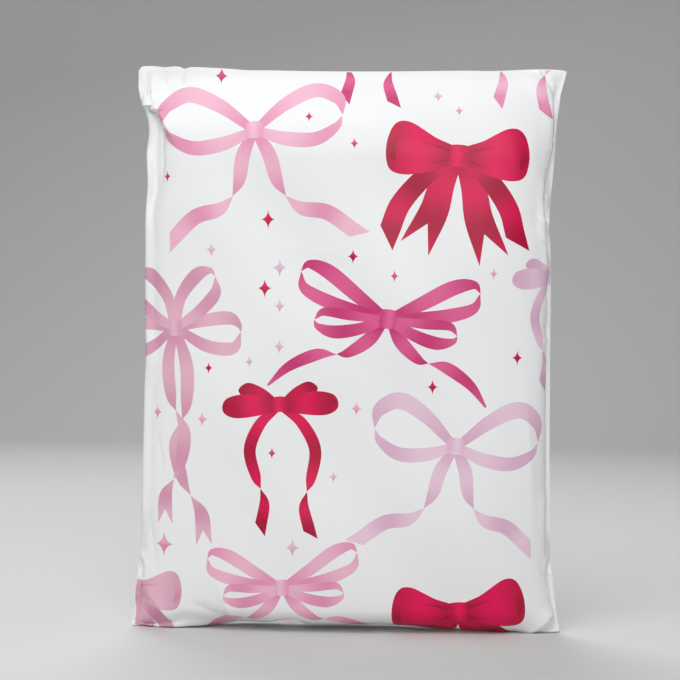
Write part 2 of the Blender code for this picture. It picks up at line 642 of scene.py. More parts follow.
@dataclass(frozen=True)
class Place:
    """Where a motif goes on the flat film, in metres and degrees."""

    u: float
    v: float
    turn: float = 0.0
    size: float = 1.0
    mirrored: bool = False

    def put(self, points: np.ndarray) -> np.ndarray:
        """Moves points given in millimetres from the motif's middle to the film."""
        flip = np.array([-1.0 if self.mirrored else 1.0, 1.0])
        angle = math.radians(self.turn)
        turn = np.array([[math.cos(angle), math.sin(angle)], [-math.sin(angle), math.cos(angle)]])
        return (points * flip * self.size * MM) @ turn + np.array([self.u, self.v])


STEP = 1.3  # between the points of an outline, in millimetres


def ribbon(knots: list[tuple[float, float, float]], ink: Ink, end: End = End.PLAIN, **look: float) -> Shape:
    """A length of ribbon that shows one face.

    Args:
        knots: Its middle line, each with the width there, in millimetres.
        ink: Its colour.
        end: How its last end is cut.
        **look: The shading's tone, bands and phase.

    Returns:
        The ribbon, in millimetres from the motif's middle.
    """
    line = curve_through(np.array(knots, float), STEP)
    run = np.gradient(line[:, :2], axis=0)
    run /= np.hypot(run[:, 0], run[:, 1])[:, None]
    side = np.stack([-run[:, 1], run[:, 0]], 1)
    half = np.maximum(line[:, 2:3] * 1.14, 0.25) / 2
    left = line[:, :2] + side * half
    right = line[:, :2] - side * half
    slant, fork = end.value
    width = 2 * half[-1, 0]
    left[-1] += run[-1] * slant * width
    if end is End.FORK:
        right[-1] += run[-1] * slant * width
    notch = line[-1:, :2] - run[-1:] * fork * width
    middle = notch if end is End.FORK else np.zeros((0, 2))
    return Shape(np.vstack([left, middle, right[::-1]]), line[:, :2], ink, **look)


def patch(knots: list[tuple[float, float]], spine: list[tuple[float, float]], ink: Ink, **look: float) -> Shape:
    """A rounded field of print, such as a puffed loop or a knot.

    Args:
        knots: Points on its outline, in order, in millimetres.
        spine: The line that its shading runs along.
        ink: Its colour.
        **look: The shading's tone, bands and phase.

    Returns:
        The field, in millimetres from the motif's middle.
    """
    ring = np.array([*knots, knots[0]], float)
    ends = np.vstack([ring[-2], ring, ring[1]])
    pieces = []
    for k in range(len(ring) - 1):
        a, b, c, d = ends[k : k + 4]
        count = max(2, math.ceil(np.hypot(*(c - b)) / STEP))
        f = np.linspace(0, 1, count, endpoint=False)[:, None]
        pieces.append(0.5 * (2 * b + (c - a) * f + (2 * a - 5 * b + 4 * c - d) * f**2 + (3 * b - a - 3 * c + d) * f**3))
    line = curve_through(np.array(spine, float), STEP)
    return Shape(np.vstack(pieces), line, ink, **look)


def both_sides(knots: list[tuple[float, ...]], skew: float = 1.0) -> list[list[tuple[float, ...]]]:
    """A line of knots and its mirror image, the image's size changed by skew."""
    image = [(-x * skew, y * skew, *rest) for x, y, *rest in knots]
    return [knots, image]


class BowKind(Enum):
    """The kinds of ribbon bow in the print."""

    PUFFED = "puffed"
    LOOPED = "looped"
    DOUBLE = "double"
    SMALL = "small"
    TRAILING = "trailing"


@dataclass(frozen=True)
class Bow:
    """A printed ribbon bow."""

    kind: BowKind
    ink: Ink
    place: Place

    def shapes(self) -> list[Shape]:
        """The bow's fields of print on the flat film, the lowest first."""
        made = {
            BowKind.PUFFED: self._puffed,
            BowKind.LOOPED: self._looped,
            BowKind.DOUBLE: self._double,
            BowKind.SMALL: self._small,
            BowKind.TRAILING: self._trailing,
        }[self.kind]()
        return [
            Shape(self.place.put(s.outline), self.place.put(s.spine), s.ink, s.tone, s.bands, s.phase)
            for s in made
        ]

    def _knot(self, width: float, height: float) -> Shape:
        """The rounded knot in the middle of a bow."""
        w, h = width / 2, height / 2
        ring = [(-w, -h * 0.7), (-w * 0.6, -h), (w * 0.6, -h), (w, -h * 0.7)]
        ring += [(w * 0.92, h * 0.75), (w * 0.5, h), (-w * 0.5, h), (-w * 0.92, h * 0.75)]
        return patch(ring, [(-w, 0), (w, 0)], self.ink, tone=0.35, phase=0.1)

    def _puffed(self) -> list[Shape]:
        """A full bow: two puffed loops, creased at the knot, and wide forked tails."""
        ink = self.ink
        shapes = []
        for tail in both_sides([(2, -3, 7), (9, -18, 12), (13, -34, 14), (21, -52, 15)], 0.93):
            shapes.append(ribbon(tail, ink, End.FORK, bands=1.2, phase=0.1, tone=-0.1))
        for tail in both_sides([(3, -2, 6), (17, -12, 9), (29, -27, 10), (34, -41, 10)], 1.04):
            shapes.append(ribbon(tail, ink, End.SLANT, bands=1.5, phase=0.35, tone=-0.35))
        wing = [(2, -4), (14, -9), (28, -12), (37, -9), (39, 3), (35, 15), (27, 17), (13, 9), (2, 4)]
        for ring in both_sides(wing, 1.03):
            far = ring[4]
            shapes.append(patch(ring, [(0, 0), far], ink, bands=1.0, phase=0.95, tone=0.1))
        inner = [(35, -5.5), (37.4, -1.5), (37.9, 4), (36.6, 10), (33.6, 12.6), (33.2, 8), (34.2, 2), (33.6, -3)]
        for ring in both_sides(inner, 1.03):
            shapes.append(patch(ring, [(35, -5), (35.5, 12)], ink, tone=-0.55, bands=0.5))
        for fold in both_sides([(3, 1.5, 1.6), (11, 4, 1.3), (21, 6.5, 0.3)]):
            shapes.append(ribbon(fold, ink, tone=-0.7, bands=0.5))
        for fold in both_sides([(3, -1.5, 1.6), (10, -4, 1.2), (17, -6, 0.3)]):
            shapes.append(ribbon(fold, ink, tone=-0.7, bands=0.5))
        shapes.append(self._knot(11, 12))
        return shapes

    def _looped(self) -> list[Shape]:
        """A thin ribbon's bow: two open loops that turn over, and two trailing tails."""
        ink = self.ink
        shapes = []
        tail = [(1, -2, 4), (7, -14, 6.5), (10, -27, 5.5), (14, -35, 0.3)]
        turned = [(14, -35.5, 0.3), (22, -42, 6), (35, -45, 7), (48, -55, 7)]
        for part in both_sides(tail, 0.95):
            shapes.append(ribbon(part, ink, bands=1.0))
        for part in both_sides(turned, 0.95):
            shapes.append(ribbon(part, ink, End.SLANT, bands=1.3, phase=0.3, tone=0.15))
        under = [(2, -1, 4), (16, -6, 6.5), (31, -7, 6.5), (42, -1, 4), (45.5, 5, 0.3)]
        over = [(46, 6, 0.3), (44, 16, 6.5), (33, 22, 8), (18, 15, 7), (3, 2, 4)]
        for part in both_sides(under, 1.04):
            shapes.append(ribbon(part, ink, bands=1.0, phase=0.25, tone=0.1))
        for part in both_sides(over, 1.04):
            shapes.append(ribbon(part, ink, bands=1.0, phase=0.0))
        shapes.append(self._knot(9, 9))
        return shapes

    def _double(self) -> list[Shape]:
        """A bow with a large and a small loop on each side, and two waved tails."""
        ink = self.ink
        shapes = []
        tail = [(2, -2, 4), (9, -12, 6.5), (19, -20, 4.5), (25, -21.5, 0.3)]
        turned = [(25.5, -21.6, 0.3), (36, -23, 5.5), (50, -31, 4.5), (60, -42, 1.0)]
        for part in both_sides(tail, 0.96):
            shapes.append(ribbon(part, ink, bands=1.0, tone=-0.15))
        for part in both_sides(turned, 0.96):
            shapes.append(ribbon(part, ink, bands=1.0, phase=0.4))
        loops = (
            [(2, 1, 4), (17, 10, 6.5), (34, 21, 7), (45, 24, 4), (49, 20, 0.3)],
            [(49, 19.5, 0.3), (46, 11, 5), (31, 5, 6.5), (15, 2, 5.5), (2, 0, 4)],
            [(2, -1, 4), (15, -7, 5.5), (28, -10, 6), (37, -8, 3), (39, -5, 0.3)],
            [(39, -4.5, 0.3), (34, 0, 4), (20, -0.5, 4.5), (3, -0.5, 3)],
        )
        for number, loop in enumerate(loops):
            for part in both_sides(loop, 0.97):
                shapes.append(ribbon(part, ink, bands=1.0, phase=0.22 * number))
        shapes.append(self._knot(9, 10))
        return shapes

    def _small(self) -> list[Shape]:
        """A small tied bow with short full loops and two long, curved tails."""
        ink = self.ink
        shapes = []
        tail = [(2, -3, 3), (12, -11, 5.5), (19, -26, 6), (16, -42, 5), (13.5, -49, 0.3)]
        turned = [(13.4, -49.5, 0.3), (11.5, -58, 5), (14, -70, 6)]
        for part in both_sides(tail, 0.95):
            shapes.append(ribbon(part, ink, bands=1.4, phase=0.2))
        for part in both_sides(turned, 0.95):
            shapes.append(ribbon(part, ink, End.SLANT, bands=1.0, tone=-0.2))
        wing = [(1, -3), (12, -6), (26, -7), (33, -3), (31, 4), (20, 6.5), (9, 4), (1, 3)]
        lobe = [(1, 0), (8, 1), (17, 3), (22, 8), (17, 12), (9, 9), (2, 3)]
        for ring in both_sides(lobe, 1.05):
            shapes.append(patch(ring, [(0, 0), ring[3]], ink, tone=-0.5))
        for ring in both_sides(wing, 0.98):
            shapes.append(patch(ring, [(0, 0), ring[3]], ink, bands=1.3, phase=0.9))
        for fold in both_sides([(29, 2.5, 0.3), (31, -0.5, 3), (29.5, -4, 0.3)]):
            shapes.append(ribbon(fold, ink, tone=-0.9, bands=0.5))
        shapes.append(self._knot(8, 8.5))
        return shapes

    def _trailing(self) -> list[Shape]:
        """A bow of four petal loops with two very long tails that turn over twice."""
        ink = self.ink
        shapes = []
        tail = [(1, -2, 4), (6, -22, 7), (5, -42, 6), (2, -52, 0.3)]
        turned = [(1.8, -52.5, 0.3), (-3, -66, 6.5), (0, -84, 6), (5, -95, 0.3)]
        last = [(5.2, -95.5, 0.3), (11, -106, 7), (12, -121, 8)]
        for number, line in enumerate((tail, turned, last)):
            end = End.FORK if line is last else End.PLAIN
            for part in both_sides(line, 0.9):
                shapes.append(ribbon(part, ink, end, bands=1.0, phase=0.3 * number))
        high = ([(1, 2, 4), (4, 17, 6), (14, 29, 7), (22, 31, 3), (24.5, 28, 0.3)],
                [(24.7, 27.5, 0.3), (24, 18, 6), (14, 8, 6), (2, 1, 4)])
        low = ([(2, 0, 4), (16, 3, 6), (31, 4, 6.5), (37, 0, 3), (38, -4, 0.3)],
               [(38, -4.5, 0.3), (33, -13, 6), (18, -11, 6), (2, -1, 4)])
        for number, loop in enumerate((*low, *high)):
            for part in both_sides(loop, 1.05):
                shapes.append(ribbon(part, ink, bands=1.0, phase=0.2 * number))
        shapes.append(self._knot(8, 9))
        return shapes


@dataclass(frozen=True)
class Sparkle:
    """A printed four-pointed sparkle."""

    u: float
    v: float
    tall: float
    ink: Ink
    tone: float = 0.0

    def shape(self) -> Shape:
        """The sparkle on the flat film."""
        angle = np.linspace(0, 2 * math.pi, 32, endpoint=False)
        x = 0.36 * self.tall * np.sign(np.cos(angle)) * np.abs(np.cos(angle)) ** 3.6
        y = 0.50 * self.tall * np.sign(np.sin(angle)) * np.abs(np.sin(angle)) ** 3.6
        middle = np.array([self.u, self.v])
        ring = np.stack([x, y], 1) * MM + middle
        spine = middle + np.array([[0.0, -0.3], [0.0, 0.3]]) * self.tall * MM
        return Shape(ring, spine, self.ink, self.tone, 0.5)


FRONT_BOWS = (
    Bow(BowKind.SMALL, Ink.MAGENTA, Place(0.138, 0.388, 0.0)),
    Bow(BowKind.SMALL, Ink.PINK, Place(0.232, 0.385, -4.0)),
    Bow(BowKind.LOOPED, Ink.PINK, Place(0.072, 0.298, 4.0, 1.12)),
    Bow(BowKind.PUFFED, Ink.CRIMSON, Place(0.190, 0.284, -3.0, 1.05)),
    Bow(BowKind.TRAILING, Ink.DUSTY, Place(0.026, 0.184, 3.0, 1.02)),
    Bow(BowKind.DOUBLE, Ink.MAGENTA, Place(0.150, 0.190, -6.0, 1.08, True)),
    Bow(BowKind.SMALL, Ink.LILAC, Place(0.251, 0.216, 4.0, 0.9)),
    Bow(BowKind.SMALL, Ink.CRIMSON, Place(0.088, 0.141, 3.0, 1.02)),
    Bow(BowKind.LOOPED, Ink.LILAC, Place(0.190, 0.118, -5.0, 1.04, True)),
    Bow(BowKind.DOUBLE, Ink.PINK, Place(0.091, 0.037, 4.0, 0.9)),
    Bow(BowKind.PUFFED, Ink.CRIMSON, Place(0.192, 0.022, 3.0, 0.98, True)),
    Bow(BowKind.PUFFED, Ink.DUSTY, Place(0.001, 0.030, -4.0, 0.8)),
)
BACK_BOWS = (
    Bow(BowKind.DOUBLE, Ink.MAGENTA, Place(0.075, 0.262, 5.0)),
    Bow(BowKind.LOOPED, Ink.PINK, Place(0.186, 0.238, -4.0)),
    Bow(BowKind.PUFFED, Ink.CRIMSON, Place(0.064, 0.168, 3.0)),
    Bow(BowKind.SMALL, Ink.CRIMSON, Place(0.196, 0.128, -4.0)),
    Bow(BowKind.LOOPED, Ink.LILAC, Place(0.122, 0.100, 4.0)),
    Bow(BowKind.TRAILING, Ink.DUSTY, Place(0.020, 0.110, 0.0)),
    Bow(BowKind.PUFFED, Ink.CRIMSON, Place(0.214, 0.040, 3.0, 0.95)),
    Bow(BowKind.DOUBLE, Ink.PINK, Place(0.092, 0.030, -3.0, 0.9)),
)
FLAP_BOWS = (
    Bow(BowKind.LOOPED, Ink.PINK, Place(0.060, 0.020, 176.0, 0.9)),
    Bow(BowKind.PUFFED, Ink.CRIMSON, Place(0.150, 0.012, 184.0, 0.9)),
    Bow(BowKind.DOUBLE, Ink.DUSTY, Place(0.226, 0.030, 178.0, 0.9)),
)


def sparkle_field(seed: int, low: float, high: float, bows: tuple[Bow, ...], count: int) -> list[Shape]:
    """Scatters sparkles over the film where no bow is.

    Args:
        seed: Starts the draw.
        low: The lowest height on the film.
        high: The highest height.
        bows: The bows to keep clear of.
        count: How many sparkles there are.

    Returns:
        The sparkles.
    """
    draw = np.random.default_rng(seed)
    taken = [s.outline for bow in bows for s in bow.shapes()]
    taken = np.vstack(taken) if taken else np.zeros((1, 2)) - 1.0
    inks = (Ink.CRIMSON, Ink.MAGENTA, Ink.CRIMSON, Ink.PINK, Ink.MAGENTA, Ink.LILAC)
    found: list[Shape] = []
    centres = np.zeros((0, 2))
    for _ in range(4000):
        if len(found) >= count:
            break
        u, v = draw.uniform(0.014, 0.240), draw.uniform(low, high)
        tall = draw.choice([7.5, 9.5, 12.0, 14.5, 16.5], p=[0.2, 0.25, 0.25, 0.2, 0.1])
        middle = np.array([u, v])
        room = np.hypot(*(taken - middle).T).min() - 0.55 * tall * MM
        apart = np.hypot(*(centres - middle).T).min() if len(centres) else 1.0
        if room < 0.0035 or apart < 0.013:
            continue
        ink = inks[int(draw.integers(len(inks)))]
        found.append(Sparkle(u, v, tall, ink, float(draw.uniform(-0.5, 0.2))).shape())
        centres = np.vstack([centres, middle])
    return found


# -------------------------------------------------------------- cutting the printed film


@dataclass
class CutSheet:
    """A flat sheet of film, cut into triangles along the outlines of its print."""

    width: float
    height: float
    edge_heights: np.ndarray  # the heights of the points on both side edges
    edge_columns: int  # how many cells the top and bottom edges have
    fine: np.ndarray  # more points, where the film is creased
    lines_across: tuple[float, ...] = ()  # heights where the film folds or is cut
    pitch: float = 0.0018
    margin: float = 0.0005

    def cut(self, shapes: list[Shape], white: tuple[float, float, float]) -> tuple[np.ndarray, np.ndarray, np.ndarray, np.ndarray]:
        """Cuts the sheet.

        Args:
            shapes: The print, the lowest first.
            white: The colour of the bare film, in linear light.

        Returns:
            The points, the triangles, a colour for each corner of each triangle, and how
            much ink each corner has.
        """
        points, edges = self._frame()
        outlines = [self._inside(s.outline) for s in shapes]
        for ring in outlines:
            start = len(points)
            points = np.vstack([points, ring])
            count = len(ring)
            edges += [(start + k, start + (k + 1) % count) for k in range(count)]
        points = np.vstack([points, self._clear(self._fine_inside(), points, 0.0003)])
        points = np.vstack([points, self._clear(self._lattice(), points, self.pitch * 0.55)])
        made = geometry.delaunay_2d_cdt([Vector(p) for p in points * 1000.0], edges, [], 0, 1e-4)
        flat = np.array([tuple(p) for p in made[0]]) / 1000.0
        triangles = np.array(made[2], int)
        a, b, c = (flat[triangles[:, k]] for k in range(3))
        area = (b[:, 0] - a[:, 0]) * (c[:, 1] - a[:, 1]) - (b[:, 1] - a[:, 1]) * (c[:, 0] - a[:, 0])
        triangles = triangles[np.abs(area) > 1e-13]
        flip = area[np.abs(area) > 1e-13] < 0
        triangles[flip] = triangles[flip][:, ::-1]
        colours, inked = self._colour(flat, triangles, shapes, outlines, white)
        return flat, triangles, colours, inked

    def _frame(self) -> tuple[np.ndarray, list[tuple[int, int]]]:
        """The points and edges of the sheet's border and of the lines across it."""
        columns = np.linspace(0.0, self.width, self.edge_columns + 1)
        rows = self.edge_heights
        ring = [(x, 0.0) for x in columns]
        ring += [(self.width, y) for y in rows[1:]]
        ring += [(x, self.height) for x in columns[-2::-1]]
        ring += [(0.0, y) for y in rows[-2:0:-1]]
        edges = [(k, (k + 1) % len(ring)) for k in range(len(ring))]
        points = list(ring)
        for y in self.lines_across:
            start = len(points)
            points += [(x, y) for x in columns]
            edges += [(start + k, start + k + 1) for k in range(len(columns) - 1)]
        return np.array(points), edges

    def _inside(self, ring: np.ndarray) -> np.ndarray:
        """An outline with what is beyond the sheet drawn in to just inside its border."""
        low = np.array([self.margin, self.margin])
        high = np.array([self.width, self.height]) - self.margin
        return np.clip(ring, low, high)

    def _lattice(self) -> np.ndarray:
        """Points evenly spread over the sheet."""
        rows = int(self.height / (self.pitch * 0.866))
        found = []
        for row in range(1, rows):
            y = self.height * row / rows
            shift = 0.25 if row % 2 else 0.75
            count = int(self.width / self.pitch)
            x = (np.arange(count) + shift) * self.width / count
            found.append(np.stack([x, np.full(count, y)], 1))
        return np.vstack(found)

    def _fine_inside(self) -> np.ndarray:
        """The points for the creases, without doubles and those too near the border."""
        low, high = 0.0009, np.array([self.width, self.height]) - 0.0009
        points = self.fine[((self.fine > low) & (self.fine < high)).all(1)]
        _, first = np.unique(np.floor(points / 0.0003).astype(int), axis=0, return_index=True)
        return points[np.sort(first)]

    @staticmethod
    def _clear(points: np.ndarray, taken: np.ndarray, cell: float) -> np.ndarray:
        """The points that have none of the taken ones within about a cell."""
        wide = 1_000_000
        marked = np.unique(np.floor(taken / cell).astype(np.int64) @ np.array([wide, 1]))
        keys = np.floor(points / cell).astype(np.int64) @ np.array([wide, 1])
        crowded = np.zeros(len(points), bool)
        for across in (-wide, 0, wide):
            for up in (-1, 0, 1):
                crowded |= np.isin(keys + across + up, marked)
        return points[~crowded]

    @staticmethod
    def _within(places: np.ndarray, ring: np.ndarray) -> np.ndarray:
        """Which places are inside an outline."""
        inside = np.zeros(len(places), bool)
        x, y = places[:, 0], places[:, 1]
        for (ax, ay), (bx, by) in zip(ring, np.roll(ring, -1, axis=0)):
            if ay == by:
                continue
            crosses = (ay > y) != (by > y)
            inside ^= crosses & (x < (bx - ax) * (y - ay) / (by - ay) + ax)
        return inside

    def _colour(
        self,
        flat: np.ndarray,
        triangles: np.ndarray,
        shapes: list[Shape],
        outlines: list[np.ndarray],
        white: tuple[float, float, float],
    ) -> tuple[np.ndarray, np.ndarray]:
        """Gives each triangle's corners the colour of the topmost print over it."""
        middles = flat[triangles].mean(1)
        colours = np.tile(np.array(white), (len(triangles), 3, 1))
        inked = np.zeros((len(triangles), 3))
        for shape, ring in zip(shapes, outlines):
            low, high = ring.min(0), ring.max(0)
            near = np.flatnonzero(((middles > low) & (middles < high)).all(1))
            if not len(near):
                continue
            mine = near[self._within(middles[near], ring)]
            if not len(mine):
                continue
            corners = flat[triangles[mine]].reshape(-1, 2)
            colours[mine] = shape.shade(corners).reshape(-1, 3, 3)
            inked[mine] = 1.0
        return colours, inked


# ------------------------------------------------------------------------------- finishes


@dataclass(frozen=True)
class FilmFinish:
    """Printed white polyethylene film with a satin gloss and fine wrinkles."""

    white: tuple[float, float, float] = (0.84, 0.84, 0.845)
    roughness: float = 0.34
    wrinkle: float = 0.10

    def material(self) -> bpy.types.Material:
        """Makes the film's material."""
        material = bpy.data.materials.new("printed_film")
        material.use_nodes = True
        nodes, links = material.node_tree.nodes, material.node_tree.links
        shader = nodes["Principled BSDF"]
        shader.inputs["IOR"].default_value = 1.5
        shader.inputs["Specular IOR Level"].default_value = 0.30

        colour = nodes.new("ShaderNodeAttribute")
        colour.attribute_name = "print"
        links.new(colour.outputs["Color"], shader.inputs["Base Color"])

        where = nodes.new("ShaderNodeTexCoord")
        cloudy = nodes.new("ShaderNodeTexNoise")
        cloudy.inputs["Scale"].default_value = 22.0
        cloudy.inputs["Detail"].default_value = 3.0
        links.new(where.outputs["Object"], cloudy.inputs["Vector"])
        rough = nodes.new("ShaderNodeMapRange")
        rough.inputs["To Min"].default_value = self.roughness - 0.05
        rough.inputs["To Max"].default_value = self.roughness + 0.07
        links.new(cloudy.outputs["Fac"], rough.inputs["Value"])
        links.new(rough.outputs["Result"], shader.inputs["Roughness"])

        fine = nodes.new("ShaderNodeTexNoise")
        fine.inputs["Scale"].default_value = 240.0
        fine.inputs["Detail"].default_value = 4.0
        links.new(where.outputs["Object"], fine.inputs["Vector"])
        soft = nodes.new("ShaderNodeTexNoise")
        soft.inputs["Scale"].default_value = 55.0
        soft.inputs["Detail"].default_value = 2.0
        soft.inputs["Distortion"].default_value = 0.6
        links.new(where.outputs["Object"], soft.inputs["Vector"])
        small = nodes.new("ShaderNodeBump")
        small.inputs["Strength"].default_value = self.wrinkle
        small.inputs["Distance"].default_value = 0.0002
        links.new(fine.outputs["Fac"], small.inputs["Height"])
        large = nodes.new("ShaderNodeBump")
        large.inputs["Strength"].default_value = 0.25
        large.inputs["Distance"].default_value = 0.0008
        links.new(soft.outputs["Fac"], large.inputs["Height"])
        links.new(small.outputs["Normal"], large.inputs["Normal"])
        links.new(large.outputs["Normal"], shader.inputs["Normal"])
        return material


@dataclass(frozen=True)
class PlainFinish:
    """A matt studio surface."""

    name: str
    colour: tuple[float, float, float]
    roughness: float = 0.8

    def material(self) -> bpy.types.Material:
        """Makes the surface's material."""
        material = bpy.data.materials.new(self.name)
        material.use_nodes = True
        shader = material.node_tree.nodes["Principled BSDF"]
        shader.inputs["Base Color"].default_value = (*self.colour, 1.0)
        shader.inputs["Roughness"].default_value = self.roughness
        return material


# -------------------------------------------------------------------------------- the bag


@dataclass
class MailerBag:
    """The filled bag: its settled film, its print and its finish."""

    film: Film = field(default_factory=Film)
    filling: Filling = field(default_factory=Filling)
    finish: FilmFinish = field(default_factory=FilmFinish)
    columns: int = 120
    edge_pitch: float = 0.0021
    lift: float = 0.0012  # of the flap's loose edge
    shift_fade: float = 0.007  # how far the welds' shift to their side lines reaches

    def build(self) -> bpy.types.Object:
        """Makes the bag.

        Returns:
            The bag's object, riding on the root body.
        """
        drape = Drape(self.film, self.filling)
        sheets = drape.settle()
        self.front, self.back = Surface(sheets[0]), Surface(sheets[1])
        self._measure_shifts()
        log.info("film settled")

        heights = self._edge_heights()
        front = self._front_sheet(heights)
        back, back_pairs = self._back_sheet(heights)
        mesh = self._stitch(front, back, back_pairs)
        bag = bpy.data.objects.new("poly_mailer", mesh)
        bpy.context.scene.collection.objects.link(bag)
        mesh.materials.append(self.finish.material())
        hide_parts("mailer_bag")
        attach(bag, "root")
        return bag

    def _edge_heights(self) -> np.ndarray:
        """Heights of the points along the welds, one of them where the adhesive ends."""
        film = self.film
        low = film.length - film.adhesive
        under = np.linspace(0, low, round(low / self.edge_pitch) + 1)
        over = np.linspace(low, film.length, round(film.adhesive / self.edge_pitch) + 1)
        return np.concatenate([under, over[1:]])

    def _on_film(self, side: Surface, u: np.ndarray, v: np.ndarray) -> tuple[np.ndarray, np.ndarray]:
        """Finds places and outward directions on one side of the settled film.

        Args:
            side: The front or the back.
            u: How far across the flat film.
            v: How far up it from the bottom fold.

        Returns:
            The places in the middle of the film, and its outward unit normals.
        """
        place = self._creased(side, u, v)
        reach = 0.00025
        by_u = self._creased(side, u + reach, v) - self._creased(side, u - reach, v)
        by_v = self._creased(side, u, v + reach) - self._creased(side, u, v - reach)
        return place, self._outward(side, by_u, by_v)

    def _outward(self, side: Surface, by_u: np.ndarray, by_v: np.ndarray) -> np.ndarray:
        """The outward unit normals of one side, from how its places change."""
        normal = np.cross(by_u, by_v)
        normal /= np.linalg.norm(normal, axis=1)[:, None] + 1e-12
        return normal if side is self.front else -normal

    def _creased(self, side: Surface, u: np.ndarray, v: np.ndarray) -> np.ndarray:
        """Places on one side of the film, moved by its creases and nicks."""
        film = self.film
        rows, columns = side.points.shape[:2]
        place, by_s, by_t = side.at(u / film.width * (columns - 1), v / film.length * (rows - 1))
        normal = self._outward(side, by_s, by_t)
        creases = FRONT_CREASES if side is self.front else BACK_CREASES
        rise = sum(crease.rise_at(u, v) for crease in creases) * self._near_edge(u, v)
        other = self.back if side is self.front else self.front
        facing, _, _ = other.at(u / film.width * (columns - 1), v / film.length * (rows - 1))
        gap = np.linalg.norm(facing - place, axis=1)
        place += normal * np.maximum(rise, -0.42 * gap)[:, None]
        place += sum(pull.move_at(u, v) for pull in PULLS)
        for right in (False, True):
            away = film.width - u if right else u
            shift = np.interp(v, self.shift_heights, self.shifts[right])
            place[:, 0] += shift * np.exp(-np.maximum(away, 0.0) / self.shift_fade)
        np.maximum(place[:, 2], film.gauge, out=place[:, 2])
        return place

    def _measure_shifts(self) -> None:
        """Finds how far the settled welds stand off the bag's side lines."""
        film = self.film
        self.shift_heights = np.linspace(0.0, film.length, 600)
        self.shifts = {}
        rows, columns = self.front.points.shape[:2]
        for right, line in ((False, LEFT_SIDE), (True, RIGHT_SIDE)):
            s = np.full(600, columns - 1.0 if right else 0.0)
            place, _, _ = self.front.at(s, self.shift_heights / film.length * (rows - 1))
            reach = line.reach_at(place[:, 2])
            self.shifts[right] = (reach if right else -reach) - place[:, 0]

    def _near_edge(self, u: np.ndarray, v: np.ndarray) -> np.ndarray:
        """1 inside the film, falling to 0 on the border of a side."""
        film = self.film
        away = np.minimum.reduce([u, film.width - u, v, film.length - v])
        return np.clip(away / 0.0015, 0.0, 1.0)

    def _front_sheet(self, heights: np.ndarray) -> dict[str, np.ndarray]:
        """Cuts the printed front and puts it on the settled film."""
        film = self.film
        fine = np.vstack([crease.points() for crease in FRONT_CREASES])
        sheet = CutSheet(film.width, film.length, heights, self.columns, fine)
        shapes = [s for bow in FRONT_BOWS for s in bow.shapes()]
        shapes += sparkle_field(11, 0.010, 0.335, FRONT_BOWS, 26)
        flat, triangles, colours, inked = sheet.cut(shapes, self.finish.white)
        place, normal = self._on_film(self.front, flat[:, 0], flat[:, 1])
        place += normal * (film.gauge * self._near_edge(flat[:, 0], flat[:, 1]))[:, None]
        return {"flat": flat, "place": place, "normal": normal, "triangles": triangles, "colours": colours, "inked": inked}

    def _back_sheet(self, heights: np.ndarray) -> tuple[dict[str, np.ndarray], np.ndarray]:
        """Cuts the printed back with the flap and puts it on the settled film.

        The sheet's heights run down the outside of the flap from the top fold to its loose
        edge, up its inside to the adhesive, and down the back to the bottom fold.

        Returns:
            The sheet, and its edge heights.
        """
        film = self.film
        loose = film.flap - film.adhesive
        top = film.length - film.adhesive
        outer = film.length - heights[heights >= top - 1e-9][::-1]
        free = np.linspace(film.adhesive, film.flap, round(loose / self.edge_pitch) + 1)[1:]
        inner = 2 * film.flap - free[::-1][1:]
        inner = np.append(inner, film.flap + loose)
        panel = film.flap + loose + (top - heights[heights <= top + 1e-9][::-1])
        runs = np.concatenate([outer, free, inner, panel[1:]])
        total = runs[-1]
        start = film.flap + loose
        fine = np.vstack([crease.points() for crease in BACK_CREASES])
        under = np.stack([fine[:, 0], start + top - fine[:, 1]], 1)[fine[:, 1] < top]
        over = np.stack([fine[:, 0], film.length - fine[:, 1]], 1)[fine[:, 1] > film.length - film.flap]
        folded = np.stack([over[:, 0], 2 * film.flap - over[:, 1]], 1)[over[:, 1] > film.adhesive]
        fine = np.vstack([under, over, folded])
        sheet = CutSheet(film.width, total, runs, self.columns, fine, (film.flap, start), 0.0024)

        shapes = [s for bow in FLAP_BOWS for s in bow.shapes()]
        for shape in shapes:
            shape.outline[:, 1] = np.minimum(shape.outline[:, 1], film.flap - 0.0006)
        panel_shapes = [s for bow in BACK_BOWS for s in bow.shapes()]
        panel_shapes += sparkle_field(5, 0.010, 0.285, BACK_BOWS, 20)
        for shape in panel_shapes:
            for line in (shape.outline, shape.spine):
                line[:, 1] = start + (top - line[:, 1])
            shape.outline[:, 1] = np.maximum(shape.outline[:, 1], start + 0.0006)
        flat, triangles, colours, inked = sheet.cut(shapes + panel_shapes, self.finish.white)

